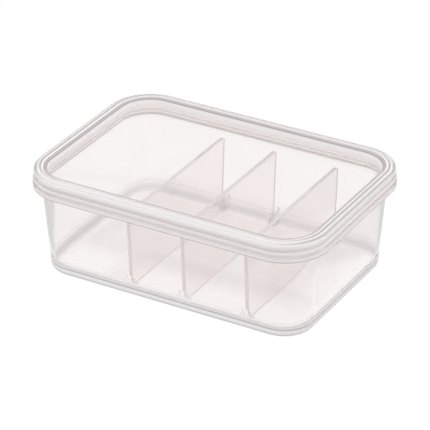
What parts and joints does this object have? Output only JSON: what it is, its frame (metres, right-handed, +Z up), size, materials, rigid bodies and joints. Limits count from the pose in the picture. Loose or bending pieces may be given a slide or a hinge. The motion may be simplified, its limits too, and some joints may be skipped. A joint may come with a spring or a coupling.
{
  "type": "compartment organizer box",
  "caption": "Clear plastic organizer box with a rolled rim, a recessed plug-in lid that lifts off, and upright dividers that stand between guide fins and lift out.",
  "frame": {"origin": "middle of the footprint, on the surface that the foot ring stands on", "axes": "+X along the box's length, towards the end with the narrower end compartment; +Y from front to back; +Z up"},
  "size_m": [0.2, 0.1404, 0.0683],
  "materials": {
    "tub_plastic": "water-clear moulded plastic, polished, with a faint warm tint along its edges",
    "lid_plastic": "water-clear moulded plastic, polished, with a faint warm tint along its edges",
    "divider_plastic": "clear plastic with a light frost and a faint rose-grey tint, polished edges"
  },
  "bodies": {
    "tub": {"tub": "tub_plastic"},
    "lid": {"lid": "lid_plastic"},
    "divider_left": {"divider_left": "divider_plastic"},
    "divider_middle": {"divider_middle": "divider_plastic"},
    "divider_right": {"divider_right": "divider_plastic"}
  },
  "joints": [
    {"name": "lid_lift", "type": "slide", "parent": "tub", "child": "lid", "axis": [0, 0, 1], "range_m": [0, 0.1]},
    {"name": "divider_left_lift", "type": "slide", "parent": "tub", "child": "divider_left", "axis": [0, 0, 1], "range_m": [0, 0.006]},
    {"name": "divider_middle_lift", "type": "slide", "parent": "tub", "child": "divider_middle", "axis": [0, 0, 1], "range_m": [0, 0.006]},
    {"name": "divider_right_lift", "type": "slide", "parent": "tub", "child": "divider_right", "axis": [0, 0, 1], "range_m": [0, 0.006]}
  ]
}
